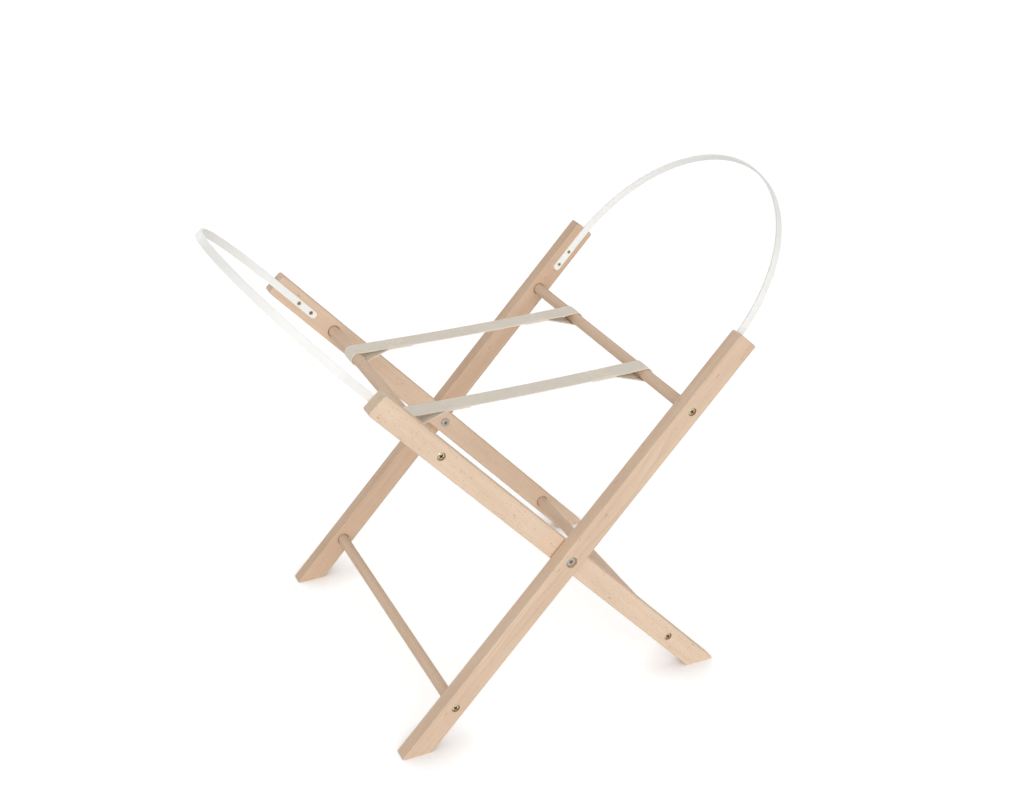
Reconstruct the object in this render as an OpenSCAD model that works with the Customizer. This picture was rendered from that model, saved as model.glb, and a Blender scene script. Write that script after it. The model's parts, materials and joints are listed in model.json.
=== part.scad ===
// Folding stand for a moses basket: two beech frames that cross on a pivot, each ending
// in a white hoop that steadies the basket, held open by two webbing straps.
// +X runs along the crossed legs, +Y to the back, +Z up. The origin is on the floor, under the pivot.

/* [Frame] */
// Depth over the outer faces of the outer legs
stand_depth = 483; // [420:1:560]
// Slope of the legs from the floor, in degrees
leg_angle = 47.4; // [43:0.1:54]
// Height of the pivot above the floor
pivot_height = 243; // [210:1:290]
// Distance along the leg from the pivot to an upper rail
upper_rail_reach = 251; // [215:1:300]
// Length of a leg above its upper rail
leg_above_rail = 117; // [110:1:150]
// Height of a lower rail above the floor
lower_rail_height = 61; // [50:1:110]

/* [Legs] */
// Width of a leg in the plane of the cross
leg_width = 32; // [26:0.5:38]
// Thickness of a leg from front to back
leg_thickness = 22; // [20:0.5:26]
// Rounding of the long edges of a leg
leg_edge_radius = 2; // [1:0.1:4]
// Rounding of the corners at the top of a leg
leg_corner_radius = 4.5; // [2:0.1:7]
// Length taken off the sharp toe of a leg
toe_blunting = 1.5; // [1:0.5:8]

/* [Rails] */
// Diameter of a rail
rail_diameter = 16; // [12:0.5:20]
// Depth of the blind socket that holds a rail end
socket_depth = 12; // [8:0.5:13]
// Widening of a socket at its mouth
socket_flare = 1.1; // [0.3:0.1:1.5]
// Depth of the widened mouth of a socket
socket_flare_depth = 2.4; // [1:0.1:4]

/* [Rail screws] */
// Diameter of the screw head
screw_head_diameter = 10.5; // [8:0.25:12]
// Diameter of the screw shank
screw_shank_diameter = 5; // [4:0.25:6]
// Length of the screw under its rim
screw_length = 45; // [30:1:60]
// Depth of the screw head's rim below the face of the leg
screw_recess = 1.4; // [1.2:0.1:3]
// Height of the dome on the screw head
screw_dome = 1.1; // [0.3:0.1:1.2]

/* [Pivot] */
// Diameter of the flat bolt and sleeve heads
pivot_head_diameter = 13; // [12:0.5:18]
// Height of the flat bolt and sleeve heads
pivot_head_height = 2.2; // [1.5:0.1:3]
// Depth of the bolt head's face below the face of the leg
pivot_recess = 2.5; // [2:0.5:5]
// Gap round the bolt's head in its bore
pivot_head_gap = 1.3; // [0.5:0.1:2]
// Diameter of the sleeve that the inner leg turns on
sleeve_diameter = 9; // [8:0.25:11]
// Diameter of the bolt inside the sleeve
bolt_diameter = 6; // [5:0.25:6.5]
// Length of the bolt under its head
bolt_length = 28; // [22:0.5:32]
// Depth of the sleeve's reach into the outer leg
sleeve_grip = 10; // [8:0.5:12]
// Size across the flats of the hexagon key recess
key_size = 5; // [3:0.5:6]
// Diameter of the washer between the legs
washer_diameter = 20; // [16:0.5:26]
// Thickness of the washer between the legs
washer_thickness = 1.5; // [0.5:0.1:2]

/* [Bows] */
// Height of a bow's tip above the top of the legs, along the leg
bow_rise = 203; // [180:1:240]
// Width of the bow's band
bow_width = 11; // [9:0.5:14]
// Thickness of the bow's band
bow_thickness = 3; // [2.5:0.1:4]
// Rounding of the band's long edges
bow_edge_radius = 0.7; // [0.3:0.1:1]
// Length of the band that lies along a leg, below the leg's top
bow_overlap = 78; // [70:1:85]

/* [Bow screws] */
// Diameter of the bow screw's head
bow_screw_head_diameter = 6.4; // [5.5:0.1:7.5]
// Diameter of the bow screw's shank
bow_screw_shank_diameter = 3.5; // [3:0.1:4]
// Length of the bow screw
bow_screw_length = 17; // [12:0.5:19]
// Distance from the band's end to its first screw
bow_screw_inset = 10; // [8:0.5:14]
// Distance between the two screws in a band end
bow_screw_pitch = 24; // [14:0.5:28]

/* [Straps] */
// Width of a strap
strap_width = 30; // [20:1:45]
// Thickness of the webbing
strap_thickness = 1.6; // [1:0.1:2.5]
// Distance of a strap from the middle of the stand
strap_offset = 105; // [60:1:150]
// Slope of the strap's return from the rail up to its seam, in degrees
strap_return_angle = 20; // [15:1:35]
// Length of the sewn overlap
strap_seam = 34; // [20:1:60]

/* [Hidden] */
$fn = 96;

// Clearances
overrun = 1;
rail_fit = 0.05;
screw_fit = 0.05;
running_fit = 0.05;
pivot_play = 0.2;
screw_head_gap = 0.6;
socket_end_gap = 0.3;
strap_clearance = 0.3;
strap_ease = 0.1;

// Colours
beech = [0.87, 0.74, 0.59];
dowel_beech = [0.84, 0.71, 0.57];
bright_steel = [0.76, 0.76, 0.77];
nickel = [0.72, 0.68, 0.60];
nylon = [0.90, 0.89, 0.86];
white_paint = [0.95, 0.95, 0.94];
cotton = [0.90, 0.87, 0.80];

// Layers from front to back, given as the front face of each front leg
leg_gap = washer_thickness + pivot_play;
outer_leg_y = -stand_depth / 2;
inner_leg_y = outer_leg_y + leg_thickness + leg_gap;

// Half widths between the inner faces of each frame's legs
outer_half_width = -(outer_leg_y + leg_thickness);
inner_half_width = -(inner_leg_y + leg_thickness);

// Places along a leg, from the pivot
leg_above_pivot = upper_rail_reach + leg_above_rail;
lower_rail_reach = (pivot_height - lower_rail_height) / sin(leg_angle);

// A leg is left long below the floor and then cut level
leg_below_pivot = (pivot_height + leg_width) / sin(leg_angle);
toe_reach = pivot_height / tan(leg_angle) + leg_width / (2 * sin(leg_angle)) - toe_blunting;
cut_span = leg_above_pivot + leg_below_pivot;

// A socket takes a rail end, and its widened mouth is cut past the face of the leg
socket_diameter = rail_diameter + 2 * rail_fit;
flare_cut = socket_flare_depth + overrun;
flare_diameter = socket_diameter + 2 * socket_flare * flare_cut / socket_flare_depth;

// Screw heads are 90 degree cones
screw_head_depth = (screw_head_diameter - screw_shank_diameter) / 2;
bow_screw_head_depth = (bow_screw_head_diameter - bow_screw_shank_diameter) / 2;
recess_slot_shares = [0.58, 0.16];
recess_depth_share = 0.75;
head_bevel_share = 0.3;
key_depth_share = 0.75;

// The bolt's seat in the outer leg, and the sleeve, which runs into that leg from the inner one
pivot_seat = pivot_recess + pivot_head_height;
sleeve_length = leg_thickness + pivot_play + leg_gap + sleeve_grip;
sleeve_bore_depth = pivot_seat + bolt_length - (leg_thickness - sleeve_grip) + socket_end_gap;

// The bow's low end and its screws, along the leg from the pivot
bow_low_end = leg_above_pivot - bow_overlap;
bow_screw_reaches = [for (i = [0, 1]) bow_low_end + bow_screw_inset + i * bow_screw_pitch];

// Where the upper rails lie, seen from the front
rail_x = upper_rail_reach * cos(leg_angle);
rail_z = pivot_height + upper_rail_reach * sin(leg_angle);

// Round the rail, the webbing's inner and outer radius
strap_inside = rail_diameter / 2 + strap_clearance;
strap_outside = strap_inside + strap_thickness;

// Length of the webbing's sloping return under the rail, down to the underside of its seam, and
// where the seam begins from the rail
strap_return = (strap_inside - strap_thickness + strap_outside * cos(strap_return_angle))
    / sin(strap_return_angle);
strap_seam_start = -strap_outside * sin(strap_return_angle) - strap_return * cos(strap_return_angle);

// Places

// Frame of the outer legs: +X up along the leg, from the pivot
module tilted() {
    translate([0, 0, pivot_height]) rotate([0, -leg_angle, 0]) children();
}

// The inner frame leans the other way
module inner_lean() {
    mirror([1, 0, 0]) children();
}

module rear() {
    mirror([0, 1, 0]) children();
}

// A point on the leg's line at a depth y, with +Z pointing to the back
module on_leg(reach, y) {
    tilted() translate([reach, y, 0]) rotate([-90, 0, 0]) children();
}

// Shared shapes

module rounded_rectangle(size, radius) {
    square([size[0] - 2 * radius, size[1]], center = true);
    square([size[0], size[1] - 2 * radius], center = true);
    for (x = [-1, 1], y = [-1, 1])
        translate([x * (size[0] / 2 - radius), y * (size[1] / 2 - radius)]) circle(radius);
}

// A bar along X, with its section given as depth and width
module bar(from, to, section, radius) {
    translate([from, 0, 0]) rotate([90, 0, 90]) linear_extrude(to - from) rounded_rectangle(section, radius);
}

// A flat plate in X and Z, centred on Y
module plate(thickness) {
    rotate([90, 0, 0]) linear_extrude(thickness, center = true) children();
}

// A shallow dome of the given height, standing on z = 0 towards -Z
module dome_cap(diameter, height) {
    sphere_radius = (pow(diameter / 2, 2) + pow(height, 2)) / (2 * height);
    intersection() {
        translate([0, 0, sphere_radius - height]) sphere(sphere_radius);
        translate([0, 0, -height]) cylinder(h = height, d = diameter);
    }
}

// A countersunk screw along +Z, with the rim of its head at z = 0
module screw(head_d, shank_d, head_depth, length, dome) {
    slot = [head_d * recess_slot_shares[0], head_d * recess_slot_shares[1]];
    recess_depth = head_depth * recess_depth_share;
    difference() {
        union() {
            cylinder(h = head_depth, d1 = head_d, d2 = shank_d);
            cylinder(h = length, d = shank_d);
            if (dome > 0) dome_cap(head_d, dome);
        }
        for (turn = [0, 90])
            rotate(turn) translate([-slot[0] / 2, -slot[1] / 2, -dome - overrun])
                cube([slot[0], slot[1], recess_depth + dome + overrun]);
    }
}

// The hole that such a screw goes through
module screw_hole(head_d, shank_d, head_depth, length) {
    cylinder(h = head_depth, d1 = head_d + 2 * screw_fit, d2 = shank_d + 2 * screw_fit);
    translate([0, 0, -overrun]) cylinder(h = overrun, d = head_d + 2 * screw_fit);
    cylinder(h = length, d = shank_d + 2 * screw_fit);
}

// The wider bore that a head sits in, below the face it is cut from
module head_bore(head_d, gap, depth) {
    translate([0, 0, -overrun]) cylinder(h = depth + overrun, d = head_d + 2 * gap);
}

// A flat round head with a bevelled rim and a key recess, its face towards -Z and its seat at z = 0
module pivot_head() {
    bevel = pivot_head_height * head_bevel_share;
    difference() {
        union() {
            translate([0, 0, bevel - pivot_head_height])
                cylinder(h = pivot_head_height - bevel, d = pivot_head_diameter);
            translate([0, 0, -pivot_head_height])
                cylinder(h = bevel, d1 = pivot_head_diameter - 2 * bevel, d2 = pivot_head_diameter);
        }
        translate([0, 0, -pivot_head_height - overrun])
            cylinder(h = pivot_head_height * key_depth_share + overrun, d = key_size / cos(30), $fn = 6);
    }
}

// Legs

module leg_blank() {
    length = leg_above_pivot + leg_below_pivot;
    intersection() {
        bar(-leg_below_pivot, leg_above_pivot, [leg_thickness, leg_width], leg_edge_radius);
        translate([leg_above_pivot - length / 2, 0, 0]) intersection() {
            plate(leg_thickness + 2 * overrun) rounded_rectangle([length, leg_width], leg_corner_radius);
            linear_extrude(leg_width + 2 * overrun, center = true)
                rounded_rectangle([length, leg_thickness], leg_edge_radius);
        }
    }
}

// A front leg in the outer frame's lean, with its front face at depth y
module leg(y) {
    difference() {
        intersection() {
            tilted() translate([0, y + leg_thickness / 2, 0]) leg_blank();
            translate([-toe_reach, y - overrun, 0])
                cube([toe_reach + cut_span, leg_thickness + 2 * overrun, pivot_height + cut_span]);
        }
        for (reach = [upper_rail_reach, -lower_rail_reach]) on_leg(reach, y) {
            head_bore(screw_head_diameter, screw_head_gap, screw_recess);
            translate([0, 0, screw_recess])
                screw_hole(screw_head_diameter, screw_shank_diameter, screw_head_depth, leg_thickness);
            translate([0, 0, leg_thickness - socket_depth])
                cylinder(h = socket_depth + overrun, d = socket_diameter);
            translate([0, 0, leg_thickness - socket_flare_depth])
                cylinder(h = flare_cut, d1 = socket_diameter, d2 = flare_diameter);
        }
        for (reach = bow_screw_reaches) on_leg(reach, y + leg_thickness + bow_thickness) mirror([0, 0, 1])
            cylinder(h = bow_screw_length + socket_end_gap, d = bow_screw_shank_diameter + 2 * screw_fit);
    }
}

module outer_leg() {
    color(beech) difference() {
        leg(outer_leg_y);
        on_leg(0, outer_leg_y) {
            head_bore(pivot_head_diameter, pivot_head_gap, pivot_seat);
            translate([0, 0, -overrun])
                cylinder(h = leg_thickness + 2 * overrun, d = bolt_diameter + 2 * screw_fit);
            translate([0, 0, leg_thickness - sleeve_grip])
                cylinder(h = sleeve_grip + overrun, d = sleeve_diameter + 2 * screw_fit);
        }
    }
}

module inner_leg() {
    color(beech) difference() {
        inner_lean() leg(inner_leg_y);
        on_leg(0, inner_leg_y - overrun)
            cylinder(h = leg_thickness + 2 * overrun, d = sleeve_diameter + 2 * running_fit);
    }
}

module outer_leg_front() { outer_leg(); }
module outer_leg_rear() { rear() outer_leg(); }
module inner_leg_front() { inner_leg(); }
module inner_leg_rear() { rear() inner_leg(); }

// Rails

// A rail between two legs, with a pilot hole in each end
module rail(reach, half_width) {
    half_length = half_width + socket_depth - socket_end_gap;
    pilot = screw_recess + screw_length - leg_thickness + socket_depth;
    color(dowel_beech) on_leg(reach, 0) difference() {
        cylinder(h = 2 * half_length, d = rail_diameter, center = true);
        for (end = [0, 1]) mirror([0, 0, end]) translate([0, 0, half_length - pilot])
            cylinder(h = pilot + overrun, d = screw_shank_diameter + 2 * screw_fit);
    }
}

module outer_upper_rail() { rail(upper_rail_reach, outer_half_width); }
module outer_lower_rail() { rail(-lower_rail_reach, outer_half_width); }
module inner_upper_rail() { inner_lean() rail(upper_rail_reach, inner_half_width); }
module inner_lower_rail() { inner_lean() rail(-lower_rail_reach, inner_half_width); }

// Screws that hold the rails

module rail_screws(y) {
    color(nickel) for (reach = [upper_rail_reach, -lower_rail_reach]) on_leg(reach, y + screw_recess)
        screw(screw_head_diameter, screw_shank_diameter, screw_head_depth, screw_length, screw_dome);
}

module outer_front_rail_screws() { rail_screws(outer_leg_y); }
module outer_rear_rail_screws() { rear() rail_screws(outer_leg_y); }
module inner_front_rail_screws() { inner_lean() rail_screws(inner_leg_y); }
module inner_rear_rail_screws() { rear() inner_lean() rail_screws(inner_leg_y); }

// Pivot

module pivot_bolt() {
    color(bright_steel) on_leg(0, outer_leg_y + pivot_seat) {
        pivot_head();
        cylinder(h = bolt_length, d = bolt_diameter);
    }
}

// The sleeve is closed at its head and takes the bolt from the other end
module pivot_sleeve() {
    color(bright_steel) on_leg(0, inner_leg_y + leg_thickness + pivot_play) mirror([0, 0, 1]) {
        pivot_head();
        difference() {
            cylinder(h = sleeve_length, d = sleeve_diameter);
            translate([0, 0, sleeve_length - sleeve_bore_depth])
                cylinder(h = sleeve_bore_depth + overrun, d = bolt_diameter + 2 * screw_fit);
        }
    }
}

module pivot_washer() {
    color(nylon) on_leg(0, outer_leg_y + leg_thickness) difference() {
        cylinder(h = washer_thickness, d = washer_diameter);
        translate([0, 0, -overrun])
            cylinder(h = washer_thickness + 2 * overrun, d = sleeve_diameter + 2 * screw_fit);
    }
}

module pivot_bolt_front() { pivot_bolt(); }
module pivot_bolt_rear() { rear() pivot_bolt(); }
module pivot_sleeve_front() { pivot_sleeve(); }
module pivot_sleeve_rear() { rear() pivot_sleeve(); }
module pivot_washer_front() { pivot_washer(); }
module pivot_washer_rear() { rear() pivot_washer(); }

// Bows

// A half round hoop that lies against the inner faces of its two legs
module bow(half_width) {
    bend_reach = leg_above_pivot + bow_rise - half_width;
    middle = half_width - bow_thickness / 2;
    section = [bow_thickness, bow_width];
    straight = bend_reach - bow_low_end;
    color(white_paint) tilted() difference() {
        union() {
            translate([bend_reach, 0, 0]) rotate(-90) rotate_extrude(angle = 180)
                translate([middle, 0]) rounded_rectangle(section, bow_edge_radius);
            for (side = [-1, 1]) translate([0, side * middle, 0]) intersection() {
                bar(bow_low_end, bend_reach, section, bow_edge_radius);
                plate(bow_thickness) translate([bow_low_end + bow_width / 2, 0]) {
                    circle(d = bow_width);
                    translate([0, -bow_width / 2]) square([straight, bow_width]);
                }
            }
        }
        for (reach = bow_screw_reaches, end = [0, 1]) mirror([0, end, 0])
            translate([reach, bow_thickness - half_width, 0]) rotate([90, 0, 0])
                screw_hole(bow_screw_head_diameter, bow_screw_shank_diameter, bow_screw_head_depth,
                    bow_thickness + overrun);
    }
}

module outer_bow() { bow(outer_half_width); }
module inner_bow() { inner_lean() bow(inner_half_width); }

// Screws that hold the bows, driven from inside

module bow_screws(half_width) {
    color(nickel) for (reach = bow_screw_reaches) on_leg(reach, bow_thickness - half_width) mirror([0, 0, 1])
        screw(bow_screw_head_diameter, bow_screw_shank_diameter, bow_screw_head_depth, bow_screw_length, 0);
}

module outer_bow_front_screws() { bow_screws(outer_half_width); }
module outer_bow_rear_screws() { rear() bow_screws(outer_half_width); }
module inner_bow_front_screws() { inner_lean() bow_screws(inner_half_width); }
module inner_bow_rear_screws() { rear() inner_lean() bow_screws(inner_half_width); }

// Straps

// A flat length of webbing along X, with its lower face at height z
module webbing(from, to, z, width) {
    translate([from, -width / 2, z]) cube([to - from, width, strap_thickness]);
}

// The right hand end of a strap: round the rail, and back up to the seam under the top ply.
// The loop is a little thicker and the sloping return a little narrower, so that all lengths
// run into each other.
module strap_end() {
    rotate([90, 0, 0]) rotate(-90 - strap_return_angle) rotate_extrude(angle = 180 + strap_return_angle)
        translate([strap_inside - strap_ease, -strap_width / 2])
            square([strap_thickness + 2 * strap_ease, strap_width]);
    rotate([0, strap_return_angle, 0])
        webbing(-strap_return - overrun, overrun, -strap_outside, strap_width - 2 * strap_ease);
    webbing(strap_seam_start - strap_seam, strap_seam_start + strap_ease, strap_inside - strap_thickness,
        strap_width);
}

module strap(y) {
    color(cotton) translate([0, y, rail_z]) {
        webbing(-rail_x - overrun, rail_x + overrun, strap_inside, strap_width);
        for (end = [0, 1]) mirror([end, 0, 0]) translate([rail_x, 0, 0]) strap_end();
    }
}

module strap_front() { strap(-strap_offset); }
module strap_rear() { strap(strap_offset); }

outer_leg_front();
outer_leg_rear();
inner_leg_front();
inner_leg_rear();
outer_upper_rail();
outer_lower_rail();
inner_upper_rail();
inner_lower_rail();
outer_front_rail_screws();
outer_rear_rail_screws();
inner_front_rail_screws();
inner_rear_rail_screws();
pivot_bolt_front();
pivot_bolt_rear();
pivot_sleeve_front();
pivot_sleeve_rear();
pivot_washer_front();
pivot_washer_rear();
outer_bow();
inner_bow();
outer_bow_front_screws();
outer_bow_rear_screws();
inner_bow_front_screws();
inner_bow_rear_screws();
strap_front();
strap_rear();
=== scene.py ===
"""Looks of a folding moses basket stand: beech frames, white bows, bright fixings and webbing straps."""

import json
import math

import bmesh
import bpy
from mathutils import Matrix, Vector


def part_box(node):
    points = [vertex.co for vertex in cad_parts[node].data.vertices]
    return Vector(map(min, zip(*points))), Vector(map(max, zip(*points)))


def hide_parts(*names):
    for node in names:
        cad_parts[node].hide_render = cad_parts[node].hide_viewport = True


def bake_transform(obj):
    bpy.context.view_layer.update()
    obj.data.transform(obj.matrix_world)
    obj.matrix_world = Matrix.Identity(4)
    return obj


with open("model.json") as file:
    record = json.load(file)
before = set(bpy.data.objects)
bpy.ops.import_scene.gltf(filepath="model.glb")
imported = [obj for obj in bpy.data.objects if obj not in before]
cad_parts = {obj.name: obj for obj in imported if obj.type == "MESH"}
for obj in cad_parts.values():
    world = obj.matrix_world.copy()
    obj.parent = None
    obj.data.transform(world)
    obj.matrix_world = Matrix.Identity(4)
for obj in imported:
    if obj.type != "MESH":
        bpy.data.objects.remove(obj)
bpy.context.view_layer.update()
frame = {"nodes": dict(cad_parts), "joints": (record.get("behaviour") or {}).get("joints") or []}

bl_info = {
    "name": "Folding basket stand",
    "version": (1, 0, 0),
    "blender": (4, 5, 0),
    "location": "3D View > Sidebar > Stand",
    "description": "Finishes the frames, bows, fixings and straps of a folding basket stand",
    "category": "Object",
}

MM = 0.001
FOLD = frame["joints"][0]
PIVOT = Vector(FOLD["pos_m"])
LENGTH_AXIS = Vector((1, 0, 0))
DEPTH_AXIS = Vector((0, 1, 0))

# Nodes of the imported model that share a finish
FRAMES = ("outer", "inner")
SIDES = ("front", "rear")
RAIL_HEIGHTS = ("upper", "lower")

# Size of each pattern in the beech, in millimetres along and across the grain
SWAY_CELL = (260, 60)
STREAK_CELL = (190, 9)
FIBRE_CELL = (26, 0.55)
CLOUD_CELL = (120, 70)
PATCH_CELL = (160, 26)
MARK_CELL = (44, 7.5)
PORE_CELL = (0.8, 0.5)

# How strongly each pattern colours the beech
STREAK_SHARE = 0.2
FIBRE_SHARE = 0.14
CLOUD_SHARE = 0.14
MARK_SHARE = 0.72
END_RING_SHARE = 0.45
PORE_SHARE = 0.4
# Painted shade on the walls of the bores and sockets
BORE_SHADE_SHARE = 0.75

# How far the growth rings wander, in millimetres, and how sharply each one darkens to its edge
RING_SWAY = 14.0
RING_SHARPNESS = 3.0

# Radius of the smallest and the largest fleck, and of a mark, in cells
FLECK_RADIUS = (0.06, 0.42)
MARK_RADIUS = 0.1

# Part of the cells whose fleck is of the smallest size, and part of the cells that hold no mark
SMALLEST_FLECKS = 0.45
UNMARKED_CELLS = 0.45

# How deep flecks and marks lie in the relief of the fibre
FLECK_DIP = 0.5
MARK_DIP = 0.8

# Roughness of the lacquer on close and on open grain
LACQUER_ROUGHNESS = (0.66, 0.8)

# Cosines of the angle to the grain at which a face starts to show end grain, and shows nothing else
END_FACING = (0.62, 0.95)

# Soft noise seldom leaves this range
NOISE_RANGE = (0.3, 0.7)

# Step through the tree from one piece of wood to the next, in millimetres along, across and into the grain
BOARD_STEP = Vector((431.0, 57.0, 23.0))

# Bores in a leg lie within this distance of their axis, and its sides lie outside it
BORE_REACH = 11 * MM

# Depths below a leg's face at which the painted shade on the walls of a bore starts and is full
BORE_RIM = (0.1 * MM, 0.9 * MM)

# Roughness of the plated fixings, and the depths below their faces at which the painted shade of their
# recesses starts and is full
PIVOT_PLATING = (0.26, 0.3 * MM, 2.6 * MM)
RAIL_SCREW_PLATING = (0.14, 0.7 * MM, 1.7 * MM)
BOW_SCREW_PLATING = (0.2, 0.1 * MM, 0.9 * MM)

# Tarnish in the dullest places of the plating, and how much rougher they are
DULL_SHARE = 0.7
DULL_ROUGHNESS = 0.2

# Brightness of the cloudy places in the nylon
CLOUDY_SHARE = 0.93

# Rise of single yarns and of fuzz beside that of the webbing's ribs
YARN_RISE = 0.5
FUZZ_RISE = 0.35

# How strongly painted shade darkens the dips in the weave, and how much washed places darken the webbing
DIP_SHARE = 0.75
WASH_SHARE = 0.12

# Faces of the strap's mesh across its width and round each of its edges
STRAP_COLUMNS = 30
STRAP_EDGE_STEPS = 3

# Stitches: distance from the webbing's edges, reach and depth of their pull,
# and the part of a step that is left open before and after each of them
SEAM_MARGIN = 3.5 * MM
PULL_REACH = 1.1 * MM
PULL_SHARE = 0.22
STITCH_OPEN_SHARE = 0.12

# Faces of one stitch, round the thread and along it
STITCH_SIDES = 6
STITCH_RINGS = 6

# Thread of a stitch: its thickness where it dives in, how high it arches, and how deep its ends lie
DIVE_SHARE = 0.45
ARCH_SHARE = 0.7
SUNK_SHARE = 0.35


def box_centre(node):
    """The middle of a node's box."""
    low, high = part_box(node)
    return (low + high) / 2


def box_size(node):
    """The lengths of a node's box."""
    low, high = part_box(node)
    return high - low


def leg_axis(frame_name):
    """The direction along a frame's legs, from the pivot up to its upper rail."""
    rise = box_centre(f"{frame_name}_upper_rail") - PIVOT
    rise.y = 0
    return rise.normalized()


def srgb(red, green, blue):
    """A colour as seen on a screen, from 0 to 255, as the linear one that a shader takes."""
    def linear(value):
        part = value / 255
        return part / 12.92 if part <= 0.04045 else ((part + 0.055) / 1.055) ** 2.4
    return linear(red), linear(green), linear(blue)


def colour(name, description, default):
    """A colour setting."""
    return bpy.props.FloatVectorProperty(
        name=name, description=description, subtype="COLOR", size=3, min=0, max=1, default=default
    )


def length(name, description, default):
    """A length setting, in metres."""
    return bpy.props.FloatProperty(
        name=name, description=description, subtype="DISTANCE", unit="LENGTH", min=0, default=default
    )


def angle(name, description, degrees):
    """An angle setting."""
    return bpy.props.FloatProperty(
        name=name, description=description, subtype="ANGLE", default=math.radians(degrees)
    )


def share(name, description, default, highest=1):
    """A plain number setting."""
    return bpy.props.FloatProperty(name=name, description=description, min=0, max=highest, default=default)


class WoodSettings(bpy.types.PropertyGroup):
    """Colours and grain of the beech."""

    light: colour("Early wood", "The pale wood of the growth rings", srgb(237, 213, 188))
    dark: colour("Late wood", "The darker wood of the growth rings", srgb(206, 174, 147))
    fleck: colour("Flecks", "The short rays that show as flecks", srgb(158, 118, 88))
    end_grain: colour("End grain", "The wood where it is cut across", srgb(224, 204, 178))
    # Colour of the painted shade on the walls of bores and sockets
    bore_shade: colour("Bore shade", "The wood in a bore or socket, browned by the drill", srgb(126, 92, 66))
    ring_width: length("Ring width", "Spacing of the growth rings", 2.2 * MM)
    fleck_length: length("Fleck length", "Length of a cell that holds one fleck", 6.2 * MM)
    fleck_width: length("Fleck width", "Width of a cell that holds one fleck", 1.2 * MM)
    relief: length("Relief", "Depth of the grain under the lacquer", 0.12 * MM)


class FixingSettings(bpy.types.PropertyGroup):
    """Colours of the screws, bolts, sleeves, washers and bows."""

    nickel: colour("Nickel", "Plating of the screws", srgb(204, 186, 156))
    steel: colour("Steel", "Zinc plating of the bolts and sleeves", srgb(184, 179, 170))
    tarnish: colour("Tarnish", "Dull places in the plating", srgb(130, 114, 90))
    # Colour of the painted shade in the recesses and round the rims of the fixings
    recess_shade: colour("Recess shade", "The dark inside of a recess", srgb(78, 66, 52))
    nylon: colour("Nylon", "The washers", srgb(232, 229, 220))
    paint: colour("Paint", "Powder coat of the bows", srgb(249, 248, 245))
    paint_shade: colour("Paint shade", "Uneven places in the powder coat", srgb(245, 244, 240))


class StrapSettings(bpy.types.PropertyGroup):
    """Make of the webbing straps."""

    yarn: colour("Yarn", "The cotton yarn where it rises", srgb(252, 245, 233))
    # Yarn colour for the painted shade in the dips of the weave; the thread's twist uses it too
    yarn_shade: colour("Yarn shade", "The cotton yarn where it dips", srgb(236, 221, 199))
    thread: colour("Thread", "The sewing thread", srgb(250, 245, 236))
    rib: length("Rib", "Width of one rib of the herringbone weave", 1.5 * MM)
    chevron: length("Chevron", "Width of one stripe of the herringbone weave", 5 * MM)
    thickness: length("Thickness", "Thickness of the webbing", 1.6 * MM)
    clearance: length("Clearance", "Gap between the webbing and the rail", 0.3 * MM)
    sag: length("Sag", "Sag of the strap between the rails", 2.5 * MM)
    seam: length("Seam", "Length of the sewn overlap", 34 * MM)
    stitch: length("Stitch", "Step from one stitch to the next", 3.7 * MM)
    thread_width: length("Thread width", "Thickness of the sewing thread", 0.8 * MM)


class StageSettings(bpy.types.PropertyGroup):
    """Floor, light and camera."""

    floor: colour("Floor", "The floor and backdrop", (0.92, 0.92, 0.92))
    glow: share("Floor glow", "White that the floor adds where the camera sees it", 0.42)
    # How far the painted contact shadow round a foot reaches
    contact: length("Contact", "How far from a foot the floor's glow fades", 50 * MM)
    ambient: share("Ambient", "Brightness of the surrounding light", 0.45, 2)
    key: share("Key", "Strength of the soft light from the front", 1.65, 5)
    top: share("Top", "Strength of the soft light from above", 0.12, 5)
    back: share("Back", "Strength of the soft light from behind", 1.15, 5)
    softness: angle("Softness", "How wide the lights look from the stand", 60)
    camera_place: bpy.props.FloatVectorProperty(
        name="Camera place", description="Where the camera stands", subtype="TRANSLATION", unit="LENGTH",
        size=3, default=(-0.74375, -1.68257, 1.2902)
    )
    camera_yaw: angle("Camera yaw", "Turn of the view towards +X", 24.53)
    camera_pitch: angle("Camera pitch", "Tilt of the view below the horizon", 26.56)
    camera_lens: bpy.props.FloatProperty(
        name="Camera lens", description="Focal length in millimetres on a 36 mm sensor", min=1, default=51.67
    )


# Shader graphs

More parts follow.
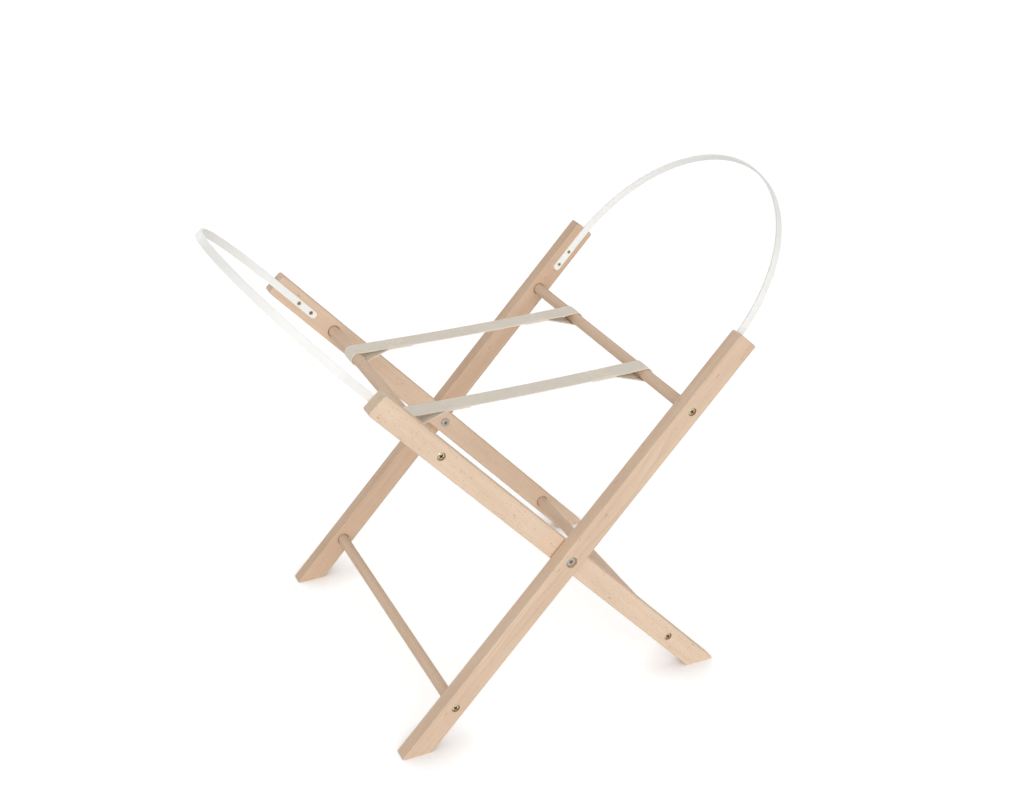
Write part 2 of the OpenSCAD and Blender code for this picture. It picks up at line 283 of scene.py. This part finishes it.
class Graph:
    """A tree of shader nodes, and short ways to add to it."""

    def __init__(self, tree):
        self.tree = tree

    def give(self, socket, value):
        """Links an output to an input, or sets the input's own value."""
        if isinstance(value, bpy.types.NodeSocket):
            self.tree.links.new(value, socket)
        elif hasattr(socket.default_value, "__len__"):
            values = list(value)
            socket.default_value = values + [1.0] * (len(socket.default_value) - len(values))
        else:
            socket.default_value = value

    def add(self, kind, inputs=(), **settings):
        """A node with its settings and inputs, the inputs by name or number."""
        node = self.tree.nodes.new(kind)
        for name, value in settings.items():
            setattr(node, name, value)
        for key, value in dict(inputs).items():
            self.give(node.inputs[key], value)
        return node

    def math(self, operation, *values, clamp=False):
        """One step of arithmetic."""
        node = self.add("ShaderNodeMath", enumerate(values), operation=operation, use_clamp=clamp)
        return node.outputs[0]

    def vector(self, operation, *values):
        """One step of vector arithmetic, as a vector or, for a dot product or length, as a number."""
        node = self.add("ShaderNodeVectorMath", enumerate(values), operation=operation)
        return node.outputs["Value" if operation in ("DOT_PRODUCT", "LENGTH") else "Vector"]

    def mix(self, factor, first, second):
        """Two colours mixed."""
        node = self.add("ShaderNodeMix", data_type="RGBA", clamp_factor=True)
        self.give(node.inputs[0], factor)
        self.give(node.inputs[6], first)
        self.give(node.inputs[7], second)
        return node.outputs[2]

    def span(self, value, low, high, to_low=0.0, to_high=1.0, smooth=True):
        """A number's range mapped to another, held at its ends."""
        node = self.add(
            "ShaderNodeMapRange",
            {"Value": value, "From Min": low, "From Max": high, "To Min": to_low, "To Max": to_high},
            interpolation_type="SMOOTHSTEP" if smooth else "LINEAR",
        )
        return node.outputs[0]

    def noise(self, place, detail=2.0, roughness=0.5, scale=1.0):
        """Soft noise, from 0 to 1."""
        node = self.add(
            "ShaderNodeTexNoise", {"Vector": place, "Scale": scale, "Detail": detail, "Roughness": roughness}
        )
        return node.outputs["Fac"]

    def cells(self, place):
        """Distance to the middle of the nearest cell, and a number of that cell's own."""
        node = self.add("ShaderNodeTexVoronoi", {"Vector": place, "Scale": 1.0})
        tone = self.add("ShaderNodeSeparateColor", {0: node.outputs["Color"]})
        return node.outputs["Distance"], tone.outputs[0]

    def object_place(self):
        """A point of the surface in the frame of the stand, in metres."""
        return self.add("ShaderNodeTexCoord").outputs["Object"]


class Finish(Graph):
    """A material with a Principled shader."""

    def __init__(self, name):
        self.material = bpy.data.materials.new(name)
        self.material.use_nodes = True
        super().__init__(self.material.node_tree)
        self.shader = self.tree.nodes["Principled BSDF"]

    def bump(self, height, depth, strength):
        """Relief of the given depth in metres."""
        node = self.add("ShaderNodeBump", {"Height": height, "Distance": depth, "Strength": strength})
        self.give(self.shader.inputs["Normal"], node.outputs["Normal"])

    def set(self, **inputs):
        """Inputs of the shader, with spaces written as underscores."""
        for name, value in inputs.items():
            self.give(self.shader.inputs[name.replace("_", " ")], value)


# Finishes

def grain_place(finish, along, across, seed):
    """The point in millimetres along, across and into a piece of wood, moved to its own part of the tree."""
    place = finish.object_place()
    axes = (along, across, along.cross(across))
    parts = [finish.vector("DOT_PRODUCT", place, axis / MM) for axis in axes]
    joined = finish.add("ShaderNodeCombineXYZ", enumerate(parts)).outputs[0]
    return finish.vector("ADD", joined, BOARD_STEP * seed)


def stretched(finish, place, cell):
    """The grain's place measured in cells of the given size in millimetres, along and across."""
    along, across = cell
    return finish.vector("MULTIPLY", place, (1 / along, 1 / across, 1 / across))


def late_wood(finish, place, pith, seed):
    """The dark edge of each growth ring round a far pith, stronger in some places than in others."""
    wood = bpy.context.scene.stand_wood
    sway = finish.noise(stretched(finish, place, SWAY_CELL))
    centre = BOARD_STEP * seed + Vector((0, *pith))
    from_pith = finish.vector("MULTIPLY", finish.vector("SUBTRACT", place, centre), (0, 1, 1))
    radius = finish.math("MULTIPLY_ADD", sway, RING_SWAY, finish.vector("LENGTH", from_pith))
    ring = finish.math("FRACT", finish.math("DIVIDE", radius, wood.ring_width / MM))
    patches = finish.noise(stretched(finish, place, PATCH_CELL), detail=1.0)
    patchy = finish.span(patches, 0.4, 0.66, to_low=0.15)
    return finish.math("MULTIPLY", finish.math("POWER", ring, RING_SHARPNESS), patchy)


def ray_flecks(finish, place):
    """Short rays of many sizes, one in each cell."""
    wood = bpy.context.scene.stand_wood
    cell = (wood.fleck_length / MM, wood.fleck_width / MM)
    from_middle, kind = finish.cells(stretched(finish, place, cell))
    radius = finish.span(kind, SMALLEST_FLECKS, 1.0, *FLECK_RADIUS, smooth=False)
    return finish.span(from_middle, radius, finish.math("MULTIPLY", radius, 0.5))


def dark_marks(finish, place):
    """A few longer and darker marks."""
    from_middle, kind = finish.cells(stretched(finish, place, MARK_CELL))
    marked = finish.math("GREATER_THAN", kind, UNMARKED_CELLS)
    return finish.math("MULTIPLY", finish.span(from_middle, MARK_RADIUS, MARK_RADIUS / 2), marked)


def bored_places(finish, node, bores):
    """1 on the walls of a leg's bores, which run in depth at the given points, and 0 on its faces."""
    place = finish.object_place()
    low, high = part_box(node)
    depth = finish.vector("DOT_PRODUCT", place, DEPTH_AXIS)
    below_front = finish.math("SUBTRACT", depth, low.y)
    below_back = finish.math("SUBTRACT", high.y, depth)
    inside = finish.span(finish.math("MINIMUM", below_front, below_back), *BORE_RIM)
    near = 0.0
    for bore in bores:
        from_bore = finish.vector("MULTIPLY", finish.vector("SUBTRACT", place, bore), (1, 0, 1))
        close = finish.math("LESS_THAN", finish.vector("LENGTH", from_bore), BORE_REACH)
        near = finish.math("MAXIMUM", near, close)
    return finish.math("MULTIPLY", inside, near)


def cut_end(finish, place, late):
    """End grain, with its rings and pores."""
    wood = bpy.context.scene.stand_wood
    pores = finish.noise(stretched(finish, place, PORE_CELL), detail=1.0)
    ringed = finish.mix(finish.math("MULTIPLY", late, END_RING_SHARE), wood.end_grain, wood.fleck)
    return finish.mix(finish.span(pores, 0.56, 0.72, to_high=PORE_SHARE), ringed, wood.fleck)


def beech(node, along, across, seed, pith, shade, ringed, flecked, bores=()):
    """Lacquered beech with growth rings, streaks, fine fibre, ray flecks, a few darker marks and painted
    shade on the walls of its bores.
    """
    wood = bpy.context.scene.stand_wood
    finish = Finish(f"beech_{node}")
    place = grain_place(finish, along, across, seed)
    streaks = finish.noise(stretched(finish, place, STREAK_CELL), detail=4.0, roughness=0.6)
    fibre = finish.noise(stretched(finish, place, FIBRE_CELL))
    cloud = finish.noise(stretched(finish, place, CLOUD_CELL), detail=1.0)
    late = late_wood(finish, place, pith, seed)
    flecks = ray_flecks(finish, place)
    marks = dark_marks(finish, place)

    tone = finish.math("MULTIPLY_ADD", late, ringed, shade)
    tone = finish.math("MULTIPLY_ADD", finish.span(streaks, 0.3, 0.72), STREAK_SHARE, tone)
    tone = finish.math("MULTIPLY_ADD", finish.span(fibre, *NOISE_RANGE), FIBRE_SHARE, tone)
    tone = finish.math("MULTIPLY_ADD", finish.span(cloud, *NOISE_RANGE), CLOUD_SHARE, tone, clamp=True)
    surface = finish.mix(tone, wood.light, wood.dark)
    surface = finish.mix(finish.math("MULTIPLY", flecks, flecked), surface, wood.fleck)
    surface = finish.mix(finish.math("MULTIPLY", marks, MARK_SHARE), surface, wood.fleck)

    normal = finish.add("ShaderNodeTexCoord").outputs["Normal"]
    facing_end = finish.math("ABSOLUTE", finish.vector("DOT_PRODUCT", normal, along))
    surface = finish.mix(finish.span(facing_end, *END_FACING), surface, cut_end(finish, place, late))
    # Painted shade on the walls of the bores and sockets
    if bores:
        shaded_bore_walls = finish.math("MULTIPLY", bored_places(finish, node, bores), BORE_SHADE_SHARE)
        surface = finish.mix(shaded_bore_walls, surface, wood.bore_shade)
    finish.set(
        Base_Color=surface,
        Roughness=finish.span(finish.math("ADD", fibre, flecks), 0.3, 1.3, *LACQUER_ROUGHNESS),
        Specular_IOR_Level=0.2,
    )
    height = finish.math("MULTIPLY_ADD", flecks, -FLECK_DIP, fibre)
    height = finish.math("MULTIPLY_ADD", marks, -MARK_DIP, height)
    finish.bump(height, depth=wood.relief, strength=0.5)
    return finish.material


def plated(node, facing, base, roughness, recess_shade_from, recess_shade_to):
    """Plated metal with a few dull places, and painted shade that deepens below the face of a head that faces
    along Y, in its recess and towards its rim.
    """
    fixing = bpy.context.scene.stand_fixing
    finish = Finish(f"plated_{node}")
    place = finish.object_place()
    spots = finish.noise(place, detail=3.0, roughness=0.6, scale=620.0)
    fine = finish.noise(finish.vector("MULTIPLY", place, (1.0, 6.0, 1.0)), scale=3200.0)
    tarnish = finish.span(spots, 0.5, 0.72, to_high=DULL_SHARE)
    low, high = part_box(node)
    face = DEPTH_AXIS * (high.y if facing > 0 else low.y)
    from_face = finish.vector("DOT_PRODUCT", finish.vector("SUBTRACT", place, face), DEPTH_AXIS * -facing)
    # Painted shade: the deeper a point lies below the head's face, the darker it is
    recess_shade = finish.span(from_face, recess_shade_from, recess_shade_to)
    dullness = finish.math("ADD", fine, tarnish)
    finish.set(
        Base_Color=finish.mix(recess_shade, finish.mix(tarnish, base, fixing.tarnish), fixing.recess_shade),
        Metallic=1.0,
        Roughness=finish.span(dullness, 0.3, 1.3, roughness, roughness + DULL_ROUGHNESS),
    )
    finish.bump(fine, depth=0.02 * MM, strength=0.5)
    return finish.material


def nylon():
    """Natural nylon, slightly cloudy."""
    fixing = bpy.context.scene.stand_fixing
    finish = Finish("washer_nylon")
    cloud = finish.noise(finish.object_place(), scale=300.0)
    cloudy = Vector(fixing.nylon) * CLOUDY_SHARE
    finish.set(
        Base_Color=finish.mix(finish.span(cloud, *NOISE_RANGE), fixing.nylon, cloudy),
        Roughness=finish.span(cloud, *NOISE_RANGE, 0.42, 0.5),
        Subsurface_Weight=0.1,
        Subsurface_Radius=(1.0 * MM, 1.0 * MM, 0.8 * MM),
    )
    finish.bump(cloud, depth=0.03 * MM, strength=0.4)
    return finish.material


def powder_coat():
    """Satin white powder coat with a fine orange peel and slightly uneven white."""
    fixing = bpy.context.scene.stand_fixing
    finish = Finish("bow_white")
    place = finish.object_place()
    peel = finish.noise(place, detail=1.5, scale=900.0)
    uneven = finish.noise(place, detail=3.0, roughness=0.6, scale=38.0)
    finish.set(
        Base_Color=finish.mix(finish.span(uneven, 0.35, 0.75), fixing.paint, fixing.paint_shade),
        Roughness=finish.span(finish.math("ADD", peel, uneven), 0.6, 1.4, 0.32, 0.44),
        Specular_IOR_Level=0.22,
        Coat_Weight=0.04,
        Coat_Roughness=0.3,
    )
    finish.bump(peel, depth=0.025 * MM, strength=0.5)
    return finish.material


def webbing():
    """Herringbone cotton webbing, worked out from the strap's own length and width."""
    strap = bpy.context.scene.stand_strap
    finish = Finish("strap_cotton")
    weave = finish.add("ShaderNodeUVMap", uv_map="weave").outputs["UV"]
    parts = finish.add("ShaderNodeSeparateXYZ", {0: weave})
    along, across = parts.outputs[0], parts.outputs[1]
    zigzag = finish.math("PINGPONG", across, strap.chevron)
    slant = finish.math("DIVIDE", finish.math("ADD", along, zigzag), strap.rib)
    ribs = finish.math("SINE", finish.math("MULTIPLY", slant, math.tau))
    twill = finish.math("MULTIPLY_ADD", ribs, 0.5, 0.5)
    yarns = finish.math("PINGPONG", finish.math("DIVIDE", across, strap.rib / 2), 0.5)
    place = finish.object_place()
    fuzz = finish.noise(finish.vector("MULTIPLY", place, (1.0, 2.0, 2.0)), detail=3.0, scale=1400.0)
    wash = finish.noise(place, scale=28.0)
    height = finish.math("MULTIPLY_ADD", yarns, YARN_RISE, twill)
    height = finish.math("MULTIPLY_ADD", fuzz, FUZZ_RISE, height)
    # Painted shade in the dips of the weave, with washed places darker at random
    shade = finish.span(height, 1.3, 0.25, to_high=DIP_SHARE)
    shade = finish.math("MULTIPLY_ADD", finish.span(wash, 0.35, 0.7), WASH_SHARE, shade, clamp=True)
    finish.set(
        Base_Color=finish.mix(shade, strap.yarn, strap.yarn_shade),
        Roughness=finish.span(fuzz, *NOISE_RANGE, 0.82, 0.95),
        Specular_IOR_Level=0.2,
        Sheen_Weight=0.12,
        Sheen_Roughness=0.5,
    )
    finish.bump(height, depth=0.28 * MM, strength=0.9)
    return finish.material


def sewing_thread():
    """Twisted cotton thread."""
    strap = bpy.context.scene.stand_strap
    finish = Finish("strap_thread")
    twist = finish.noise(finish.object_place(), scale=2600.0)
    finish.set(
        Base_Color=finish.mix(finish.span(twist, 0.35, 0.7), strap.thread, strap.yarn_shade),
        Roughness=finish.span(twist, *NOISE_RANGE, 0.6, 0.78),
        Sheen_Weight=0.2,
        Sheen_Roughness=0.4,
    )
    finish.bump(twist, depth=0.06 * MM, strength=0.7)
    return finish.material


def finish_node(node, material):
    """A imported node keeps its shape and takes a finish."""
    piece = frame["nodes"][node]
    piece.data.materials.clear()
    piece.data.materials.append(material)


# Straps

class StrapPath:
    """The line that a strap follows: seam, return, round one rail, across, and the same again mirrored."""

    FLAT_STEP = 1.0 * MM
    SPAN_STEP = 4.0 * MM
    ARC_STEPS = 28
    RETURN_SLOPE = math.radians(20)

    def __init__(self, node):
        strap = bpy.context.scene.stand_strap
        rail = box_centre("outer_upper_rail")
        rail_radius = box_size("outer_upper_rail").z / 2
        low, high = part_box(node)
        self.y = (low.y + high.y) / 2
        self.width = high.y - low.y
        self.rail = Vector((abs(rail.x), rail.z))
        self.radius = rail_radius + strap.clearance + strap.thickness / 2
        self.seam = strap.seam
        self.sag = strap.sag
        self.ply = strap.thickness
        self.points = self.half()
        self.points += [Vector((-p.x, p.y)) for p in reversed(self.points[:-1])]

    def half(self):
        """Points in x and z from the seam's end round the right hand rail to the middle of the strap."""
        centre, radius, slope = self.rail, self.radius, self.RETURN_SLOPE
        seam_height = radius - self.ply
        run = (seam_height + radius * math.cos(slope)) / math.sin(slope)
        touch = centre - radius * Vector((math.sin(slope), math.cos(slope)))
        seam_start = touch + run * Vector((-math.cos(slope), math.sin(slope)))
        seam_end = seam_start - Vector((self.seam, 0))
        points = self.stretch(seam_end, seam_start, self.FLAT_STEP)
        points += self.stretch(seam_start, touch, self.FLAT_STEP * 2)[1:]
        for step in range(1, self.ARC_STEPS + 1):
            turn = -math.pi / 2 - slope + (math.pi + slope) * step / self.ARC_STEPS
            points.append(centre + radius * Vector((math.cos(turn), math.sin(turn))))
        self.seam_from, self.seam_to = seam_end.x, seam_start.x
        top = centre + Vector((0, radius))
        points += self.stretch(top, Vector((self.seam_to, top.y)), self.FLAT_STEP * 2)[1:]
        points += self.stretch(points[-1], Vector((self.seam_from, top.y)), self.FLAT_STEP)[1:]
        points += self.stretch(points[-1], Vector((0, top.y)), self.SPAN_STEP)[1:]
        return [self.sagged(point) for point in points]

    def sagged(self, point):
        """A point lowered by the strap's sag, which is none at the rails."""
        reach = min(1, abs(point.x) / self.rail.x)
        return point - Vector((0, self.sag * (1 - reach * reach)))

    @staticmethod
    def stretch(start, end, step):
        """Even points on a straight stretch."""
        count = max(1, round((end - start).length / step))
        return [start.lerp(end, i / count) for i in range(count + 1)]

    def sewn(self, point):
        """Whether a point lies in one of the two seams."""
        return self.seam_from < abs(point.x) < self.seam_to

    def measured(self):
        """Each point with its distance along the strap and the normal on its outer side."""
        travelled = 0
        for index, point in enumerate(self.points):
            before = self.points[max(0, index - 1)]
            after = self.points[min(len(self.points) - 1, index + 1)]
            travelled += (point - before).length
            along = (after - before).normalized()
            yield point, travelled, Vector((along.y, -along.x))


def strap_section(width, thickness):
    """Points round a strap's section: the offset across it, and the rise in halves of its thickness."""
    half = thickness / 2
    flat = width - thickness
    top = [(-flat / 2 + flat * step / STRAP_COLUMNS, 1.0) for step in range(STRAP_COLUMNS + 1)]
    under = [(offset, -rise) for offset, rise in reversed(top)]

    def edge(middle, first_turn):
        turns = [first_turn - math.pi * step / STRAP_EDGE_STEPS for step in range(1, STRAP_EDGE_STEPS)]
        return [(middle + half * math.cos(turn), math.sin(turn)) for turn in turns]

    return top + edge(flat / 2, math.pi / 2) + under + edge(-flat / 2, -math.pi / 2)


def stitch_lines(path):
    """The box and cross of a sewn seam, as lines in x and y."""
    left, right = path.seam_from + SEAM_MARGIN, path.seam_to - SEAM_MARGIN
    half = path.width / 2 - SEAM_MARGIN
    front, back = path.y - half, path.y + half
    corners = [Vector(c) for c in ((left, front), (right, front), (right, back), (left, back))]
    sides = list(zip(corners, corners[1:] + corners[:1]))
    return sides + [(corners[0], corners[2]), (corners[1], corners[3])]


def from_line(point, start, end):
    """Distance from a point to a straight stretch."""
    along = end - start
    share_along = max(0.0, min(1.0, (point - start).dot(along) / along.length_squared))
    return (point - start - along * share_along).length


def pressed(x, y, lines):
    """Share of the stitches' pull at a point, 1 on a line of stitches."""
    point = Vector((abs(x), y))
    nearest = min(from_line(point, *line) for line in lines)
    return math.exp(-((nearest / PULL_REACH) ** 2))


def weave_strap(mesh, path, lines):
    """Adds the strap's webbing to a mesh, pulled in along the stitches, and returns its length."""
    outline = strap_section(path.width, path.ply)
    uv = mesh.loops.layers.uv.verify()
    rings = []
    for point, travelled, normal in path.measured():
        ring = []
        for offset, rise in outline:
            pull = pressed(point.x, path.y + offset, lines) if path.sewn(point) else 0.0
            lift = path.ply / 2 * rise * (1 - PULL_SHARE * pull)
            place = Vector((point.x + normal.x * lift, path.y + offset, point.y + normal.y * lift))
            ring.append((mesh.verts.new(place), (travelled, offset)))
        rings.append(ring)
    for first, second in zip(rings, rings[1:]):
        for i in range(len(outline)):
            j = (i + 1) % len(outline)
            corners = (first[i], first[j], second[j], second[i])
            face = mesh.faces.new([vert for vert, woven in corners])
            face.smooth = True
            for loop, (vert, woven) in zip(face.loops, corners):
                loop[uv].uv = woven
    mesh.faces.new([vert for vert, woven in reversed(rings[0])])
    mesh.faces.new([vert for vert, woven in rings[-1]])
    return travelled


def sew_stitch(mesh, start, end, height, normal_sign):
    """Adds one stitch, a low arch of thread between two points, to a mesh."""
    radius = bpy.context.scene.stand_strap.thread_width / 2
    along = (end - start).normalized()
    side = Vector((-along.y, along.x, 0))
    up = Vector((0, 0, normal_sign))
    turns = [math.tau * i / STITCH_SIDES for i in range(STITCH_SIDES)]
    loops = []
    for ring in range(STITCH_RINGS + 1):
        share_along = ring / STITCH_RINGS
        arch = math.sin(math.pi * share_along)
        swell = radius * (DIVE_SHARE + (1 - DIVE_SHARE) * math.sqrt(arch))
        rise = height + radius * (ARCH_SHARE * arch - SUNK_SHARE)
        middle = start.lerp(end, share_along).to_3d() + up * rise
        places = [middle + side * swell * math.cos(turn) + up * swell * math.sin(turn) for turn in turns]
        loops.append([mesh.verts.new(place) for place in places])
    faces = [
        mesh.faces.new((a[i - 1], a[i], b[i], b[i - 1]))
        for a, b in zip(loops, loops[1:]) for i in range(STITCH_SIDES)
    ]
    faces += [mesh.faces.new(loops[0][::-1]), mesh.faces.new(loops[-1])]
    for face in faces:
        face.smooth = True
        face.material_index = 1


def sew_seams(mesh, path, lines):
    """Adds the stitches of both seams, on the top of the strap and under it."""
    step = bpy.context.scene.stand_strap.stitch
    top = path.rail.y + path.radius + path.ply / 2
    under = top - 2 * path.ply
    for mirror in (1, -1):
        for start, end in lines:
            span = end - start
            count = max(1, round(span.length / step))
            for i in range(count):
                first = start + span * (i + STITCH_OPEN_SHARE) / count
                last = start + span * (i + 1 - STITCH_OPEN_SHARE) / count
                ends = [Vector((mirror * p.x, p.y)) for p in (first, last)]
                drop = path.sagged(Vector(((first.x + last.x) / 2, 0))).y
                sew_stitch(mesh, *ends, top + drop, 1)
                sew_stitch(mesh, *ends, -(under + drop), -1)


def new_piece(name, mesh, materials):
    """An object from a mesh in the making."""
    bmesh.ops.recalc_face_normals(mesh, faces=mesh.faces)
    data = bpy.data.meshes.new(name)
    mesh.to_mesh(data)
    mesh.free()
    for material in materials:
        data.materials.append(material)
    piece = bpy.data.objects.new(name, data)
    bpy.context.scene.collection.objects.link(piece)
    return piece


# Operators

class STAND_OT_legs(bpy.types.Operator):
    """Gives each leg a beech finish with the grain along it"""

    bl_idname = "stand.legs"
    bl_label = "Legs"

    # For each board, where its pith lies in millimetres across and into the leg, how much darker it is,
    # and how strongly its rings and flecks show. The rear outer leg's darkness is partly its own tone and
    # partly painted shade
    BOARDS = {
        "outer_leg_front": ((110, -25), 0.21, 0.32, 0.3),
        "outer_leg_rear": ((-104, 40), 0.48, 0.3, 0.3),
        "inner_leg_front": ((18, -70), 0.0, 0.2, 0.5),
        "inner_leg_rear": ((55, 46), 0.24, 0.2, 0.36),
    }
    FIRST_SEED = 1

    def execute(self, context):
        for seed, (node, board) in enumerate(self.BOARDS.items(), self.FIRST_SEED):
            frame_name = node.split("_")[0]
            along = leg_axis(frame_name)
            bores = [box_centre(f"{frame_name}_{height}_rail") for height in RAIL_HEIGHTS]
            finish_node(node, beech(node, along, along.cross(DEPTH_AXIS), seed, *board, bores))
        return {"FINISHED"}


class STAND_OT_rails(bpy.types.Operator):
    """Gives each rail a beech finish with the grain along it"""

    bl_idname = "stand.rails"
    bl_label = "Rails"

    # For each rail, where its pith lies in millimetres across and into it
    PITHS = {
        "outer_upper_rail": (30, 22),
        "outer_lower_rail": (39, 9),
        "inner_upper_rail": (48, -4),
        "inner_lower_rail": (57, -17),
    }
    FIRST_SEED = 7
    SHADE = 0.25
    RINGED = 0.2
    FLECKED = 0.36

    def execute(self, context):
        for seed, (node, pith) in enumerate(self.PITHS.items(), self.FIRST_SEED):
            board = (pith, self.SHADE, self.RINGED, self.FLECKED)
            finish_node(node, beech(node, DEPTH_AXIS, LENGTH_AXIS, seed, *board))
        return {"FINISHED"}


class STAND_OT_bows(bpy.types.Operator):
    """Gives the bows their white powder coat"""

    bl_idname = "stand.bows"
    bl_label = "Bows"

    def execute(self, context):
        coat = powder_coat()
        for name in FRAMES:
            finish_node(f"{name}_bow", coat)
        return {"FINISHED"}


class STAND_OT_fixings(bpy.types.Operator):
    """Gives the screws, bolts, sleeves and washers their finishes"""

    bl_idname = "stand.fixings"
    bl_label = "Fixings"

    def execute(self, context):
        fixing = context.scene.stand_fixing
        washer = nylon()
        for side, outward in zip(SIDES, (-1, 1)):
            finish_node(f"pivot_washer_{side}", washer)
            for node, facing in ((f"pivot_bolt_{side}", outward), (f"pivot_sleeve_{side}", -outward)):
                finish_node(node, plated(node, facing, fixing.steel, *PIVOT_PLATING))
            for name in FRAMES:
                node = f"{name}_{side}_rail_screws"
                finish_node(node, plated(node, outward, fixing.nickel, *RAIL_SCREW_PLATING))
                node = f"{name}_bow_{side}_screws"
                finish_node(node, plated(node, -outward, fixing.nickel, *BOW_SCREW_PLATING))
        return {"FINISHED"}


class STAND_OT_straps(bpy.types.Operator):
    """Weaves and sews the two straps that hold the frames open"""

    bl_idname = "stand.straps"
    bl_label = "Straps"

    def execute(self, context):
        materials = (webbing(), sewing_thread())
        for side in SIDES:
            node = f"strap_{side}"
            path = StrapPath(node)
            lines = stitch_lines(path)
            mesh = bmesh.new()
            strap_length = weave_strap(mesh, path, lines)
            sew_seams(mesh, path, lines)
            piece = new_piece(f"webbing_{node}", mesh, materials)
            piece.data.uv_layers[0].name = "weave"
            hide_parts(node)
            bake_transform(piece)
        return {"FINISHED"}


class STAND_OT_stage(bpy.types.Operator):
    """Sets the floor, the light and the camera"""

    bl_idname = "stand.stage"
    bl_label = "Stage"

    FLOOR_SIZE = 30.0
    CONTACT_POWER = 2.0
    SENSOR_WIDTH = 36

    # Where each lamp hangs. The setting of the same name holds its strength
    LAMPS = {
        "key": Vector((-1.6, -5.8, 2.2)),
        "top": Vector((-0.6, 0.4, 4.5)),
        "back": Vector((0.8, 5.8, 0.6)),
    }

    def execute(self, context):
        settings = context.scene.stand_stage
        self.lay_floor(settings)
        self.light_world(context.scene, settings)
        self.hang_lamps(context.scene, settings)
        self.place_camera(context.scene, settings)
        context.scene.view_settings.view_transform = "Standard"
        return {"FINISHED"}

    def seen_directly(self, graph):
        """1 where the camera sees a surface itself, in metal or through glass, and 0 where it only lights."""
        path = graph.add("ShaderNodeLightPath").outputs
        in_metal_or_glass = graph.math("MAXIMUM", path["Is Glossy Ray"], path["Is Transmission Ray"])
        return graph.math("MAXIMUM", path["Is Camera Ray"], in_metal_or_glass)

    def lay_floor(self, settings):
        """A white floor that keeps the shadow of the stand, with a painted contact shadow where its feet
        touch, where the floor's glow fades.
        """
        mesh = bmesh.new()
        bmesh.ops.create_grid(mesh, x_segments=1, y_segments=1, size=self.FLOOR_SIZE / 2)
        material = bpy.data.materials.new("floor_white")
        material.use_nodes = True
        nodes = material.node_tree.nodes
        nodes.remove(nodes["Principled BSDF"])
        graph = Graph(material.node_tree)
        # The glow fades where the stand hems the floor in, which paints a contact shadow round the feet
        open_floor = graph.add("ShaderNodeAmbientOcclusion", {"Distance": settings.contact}).outputs["AO"]
        contact_shadow_fade = graph.math("POWER", open_floor, self.CONTACT_POWER)
        strength = graph.math("MULTIPLY", contact_shadow_fade, settings.glow)
        seen = graph.math("MULTIPLY", self.seen_directly(graph), strength)
        matt = graph.add("ShaderNodeBsdfDiffuse", {"Color": settings.floor})
        glow = graph.add("ShaderNodeEmission", {"Strength": seen})
        both = graph.add("ShaderNodeAddShader", {0: matt.outputs[0], 1: glow.outputs[0]})
        graph.give(nodes["Material Output"].inputs["Surface"], both.outputs[0])
        new_piece("floor", mesh, [material])

    def light_world(self, scene, settings):
        """Even light all round, which the camera sees as white."""
        scene.world = bpy.data.worlds.new("studio")
        scene.world.use_nodes = True
        graph = Graph(scene.world.node_tree)
        background = graph.tree.nodes["Background"]
        strength = graph.span(self.seen_directly(graph), 0.0, 1.0, to_low=settings.ambient, smooth=False)
        graph.give(background.inputs["Color"], (1, 1, 1))
        graph.give(background.inputs["Strength"], strength)

    def hang_lamps(self, scene, settings):
        """A wide soft light from the front and weaker ones from above and behind, as in a large studio."""
        for name, place in self.LAMPS.items():
            data = bpy.data.lights.new(f"{name}_light", "SUN")
            data.angle = settings.softness
            data.energy = getattr(settings, name)
            lamp = bpy.data.objects.new(f"{name}_light", data)
            lamp.location = place
            lamp.rotation_euler = (-place).to_track_quat("-Z", "Y").to_euler()
            scene.collection.objects.link(lamp)

    def place_camera(self, scene, settings):
        """The camera at the photograph's place."""
        data = bpy.data.cameras.new("camera")
        data.sensor_fit = "HORIZONTAL"
        data.sensor_width = self.SENSOR_WIDTH
        data.lens = settings.camera_lens
        camera = bpy.data.objects.new("camera", data)
        camera.location = settings.camera_place
        camera.rotation_euler = (math.pi / 2 - settings.camera_pitch, 0, -settings.camera_yaw)
        scene.collection.objects.link(camera)
        scene.camera = camera


STEPS = (STAND_OT_stage, STAND_OT_legs, STAND_OT_rails, STAND_OT_bows, STAND_OT_fixings, STAND_OT_straps)
SETTINGS = {
    "stand_wood": WoodSettings,
    "stand_fixing": FixingSettings,
    "stand_strap": StrapSettings,
    "stand_stage": StageSettings,
}


class STAND_PT_build(bpy.types.Panel):
    """Lists the steps and settings of the stand"""

    bl_label = "Folding basket stand"
    bl_idname = "STAND_PT_build"
    bl_space_type = "VIEW_3D"
    bl_region_type = "UI"
    bl_category = "Stand"

    def draw(self, context):
        for step in STEPS:
            self.layout.operator(step.bl_idname)
        for name in SETTINGS:
            settings = getattr(context.scene, name)
            column = self.layout.column(align=True)
            for key in settings.__annotations__:
                column.prop(settings, key)


CLASSES = (*SETTINGS.values(), *STEPS, STAND_PT_build)


def register():
    for cls in CLASSES:
        bpy.utils.register_class(cls)
    for name, group in SETTINGS.items():
        setattr(bpy.types.Scene, name, bpy.props.PointerProperty(type=group))


def unregister():
    for name in SETTINGS:
        delattr(bpy.types.Scene, name)
    for cls in reversed(CLASSES):
        bpy.utils.unregister_class(cls)


def main():
    register()
    bpy.ops.stand.stage()
    bpy.ops.stand.legs()
    bpy.ops.stand.rails()
    bpy.ops.stand.bows()
    bpy.ops.stand.fixings()
    bpy.ops.stand.straps()


if __name__ == "__main__":
    main()
